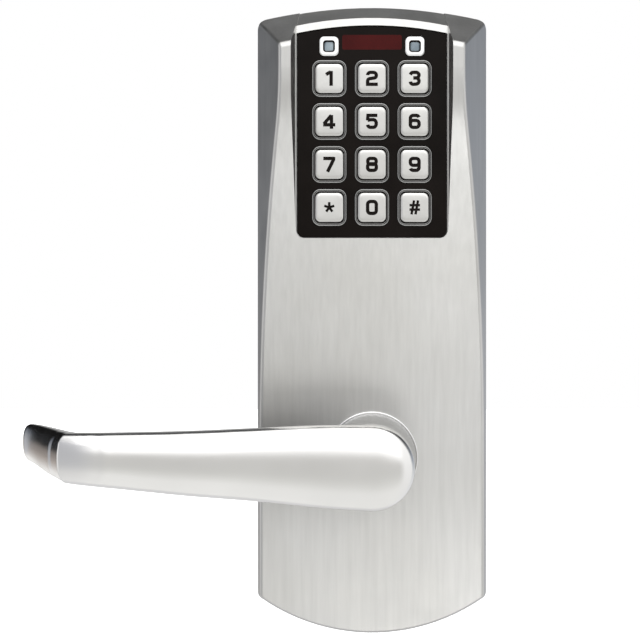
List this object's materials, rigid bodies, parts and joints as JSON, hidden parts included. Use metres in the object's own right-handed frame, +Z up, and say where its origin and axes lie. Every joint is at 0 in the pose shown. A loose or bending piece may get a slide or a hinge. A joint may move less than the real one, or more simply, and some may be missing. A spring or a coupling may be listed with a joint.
{
  "type": "keypad door lock trim with lever",
  "caption": "Tall metal outside trim for a door lock, with a sunken twelve-key pad between raised cheeks and a return lever handle below.",
  "frame": {"origin": "spindle axis where it crosses the door face", "axes": "+X to the right seen from outside, +Y into the door along the spindle, +Z up; the front faces -Y"},
  "size_m": [0.1547, 0.1192, 0.208],
  "materials": {
    "satin_metal": "satin nickel coloured, fine even grain",
    "satin_lever": "satin nickel plated",
    "key_metal": "satin metallised caps",
    "gloss_black": "high gloss",
    "chrome_ring": "bright",
    "lens_grey": "clear lens",
    "dark_red_window": "gloss, very dark red",
    "zinc_steel": "zinc plated",
    "spring_steel": "bright drawn",
    "brass_collar": "turned",
    "foam_rubber": "closed cell",
    "membrane_rubber": "matt",
    "circuit_board": "solder resist",
    "black_resin": "moulded",
    "coil_black": "moulded",
    "amber_film": "polyimide film",
    "battery_sleeve": "printed sleeve, no marks",
    "white_nylon": "natural nylon"
  },
  "bodies": {
    "base": {"housing": "satin_metal", "back_plate": "zinc_steel", "gasket": "foam_rubber", "back_plate_screws": "zinc_steel", "bolt_posts": "zinc_steel", "anchor_stud": "zinc_steel", "stop_pins": "zinc_steel", "keypad_bezel": "gloss_black", "indicator_rings": "chrome_ring", "indicator_lenses": "lens_grey", "status_window": "dark_red_window", "key_membrane": "membrane_rubber", "snap_domes": "spring_steel", "keypad_board": "circuit_board", "keypad_screws": "zinc_steel", "control_board": "circuit_board", "board_screws": "zinc_steel", "board_components": "black_resin", "buzzer": "black_resin", "flex_cable": "amber_film", "battery_tray": "black_resin", "battery_cells": "battery_sleeve", "battery_contacts": "spring_steel", "lever_bushing": "white_nylon", "thrust_washer": "white_nylon", "return_spring": "spring_steel", "solenoid_body": "coil_black", "clutch_cover": "zinc_steel"},
    "lever": {"lever_handle": "satin_lever", "drive_tube": "zinc_steel", "return_cam": "zinc_steel", "retaining_ring": "spring_steel", "lever_set_screw": "zinc_steel"},
    "spindle_group": {"spindle": "zinc_steel", "spindle_driver": "zinc_steel"},
    "pin": {"clutch_pin": "zinc_steel"},
    "clutch_slider": {"clutch_collar": "brass_collar", "solenoid_plunger": "zinc_steel"},
    "key_1_cap": {"key_1": "key_metal"},
    "key_2_cap": {"key_2": "key_metal"},
    "key_3_cap": {"key_3": "key_metal"},
    "key_4_cap": {"key_4": "key_metal"},
    "key_5_cap": {"key_5": "key_metal"},
    "key_6_cap": {"key_6": "key_metal"},
    "key_7_cap": {"key_7": "key_metal"},
    "key_8_cap": {"key_8": "key_metal"},
    "key_9_cap": {"key_9": "key_metal"},
    "key_star_cap": {"key_star": "key_metal"},
    "key_0_cap": {"key_0": "key_metal"},
    "key_hash_cap": {"key_hash": "key_metal"}
  },
  "joints": [
    {"name": "lever_turn", "type": "hinge", "parent": "base", "child": "lever", "pos_m": [0, 0, 0], "axis": [0, -1, 0], "range_deg": [-48, 48], "stiffness_Nm_per_rad": 1.5, "springref_deg": -2.58, "deforming": ["return_spring"]},
    {"name": "spindle_turn", "type": "hinge", "parent": "base", "child": "spindle_group", "pos_m": [0, 0, 0], "axis": [0, -1, 0], "range_deg": [-48, 48]},
    {"name": "clutch_slide", "type": "slide", "parent": "base", "child": "clutch_slider", "axis": [0, 1, 0], "range_m": [0, 0.0022], "stiffness_N_per_m": 300},
    {"name": "clutch_pin_slide", "type": "slide", "parent": "lever", "child": "pin", "axis": [1, 0, 0], "range_m": [0, 0.0022]},
    {"name": "key_1_press", "type": "slide", "parent": "base", "child": "key_1_cap", "axis": [0, 1, 0], "range_m": [0, 0.001], "stiffness_N_per_m": 900},
    {"name": "key_2_press", "type": "slide", "parent": "base", "child": "key_2_cap", "axis": [0, 1, 0], "range_m": [0, 0.001], "stiffness_N_per_m": 900},
    {"name": "key_3_press", "type": "slide", "parent": "base", "child": "key_3_cap", "axis": [0, 1, 0], "range_m": [0, 0.001], "stiffness_N_per_m": 900},
    {"name": "key_4_press", "type": "slide", "parent": "base", "child": "key_4_cap", "axis": [0, 1, 0], "range_m": [0, 0.001], "stiffness_N_per_m": 900},
    {"name": "key_5_press", "type": "slide", "parent": "base", "child": "key_5_cap", "axis": [0, 1, 0], "range_m": [0, 0.001], "stiffness_N_per_m": 900},
    {"name": "key_6_press", "type": "slide", "parent": "base", "child": "key_6_cap", "axis": [0, 1, 0], "range_m": [0, 0.001], "stiffness_N_per_m": 900},
    {"name": "key_7_press", "type": "slide", "parent": "base", "child": "key_7_cap", "axis": [0, 1, 0], "range_m": [0, 0.001], "stiffness_N_per_m": 900},
    {"name": "key_8_press", "type": "slide", "parent": "base", "child": "key_8_cap", "axis": [0, 1, 0], "range_m": [0, 0.001], "stiffness_N_per_m": 900},
    {"name": "key_9_press", "type": "slide", "parent": "base", "child": "key_9_cap", "axis": [0, 1, 0], "range_m": [0, 0.001], "stiffness_N_per_m": 900},
    {"name": "key_star_press", "type": "slide", "parent": "base", "child": "key_star_cap", "axis": [0, 1, 0], "range_m": [0, 0.001], "stiffness_N_per_m": 900},
    {"name": "key_0_press", "type": "slide", "parent": "base", "child": "key_0_cap", "axis": [0, 1, 0], "range_m": [0, 0.001], "stiffness_N_per_m": 900},
    {"name": "key_hash_press", "type": "slide", "parent": "base", "child": "key_hash_cap", "axis": [0, 1, 0], "range_m": [0, 0.001], "stiffness_N_per_m": 900}
  ],
  "couplings": [
    {"joint": "spindle_turn", "follows": "lever_turn", "ratio": 1},
    {"joint": "clutch_pin_slide", "follows": "clutch_slide", "ratio": 1}
  ]
}
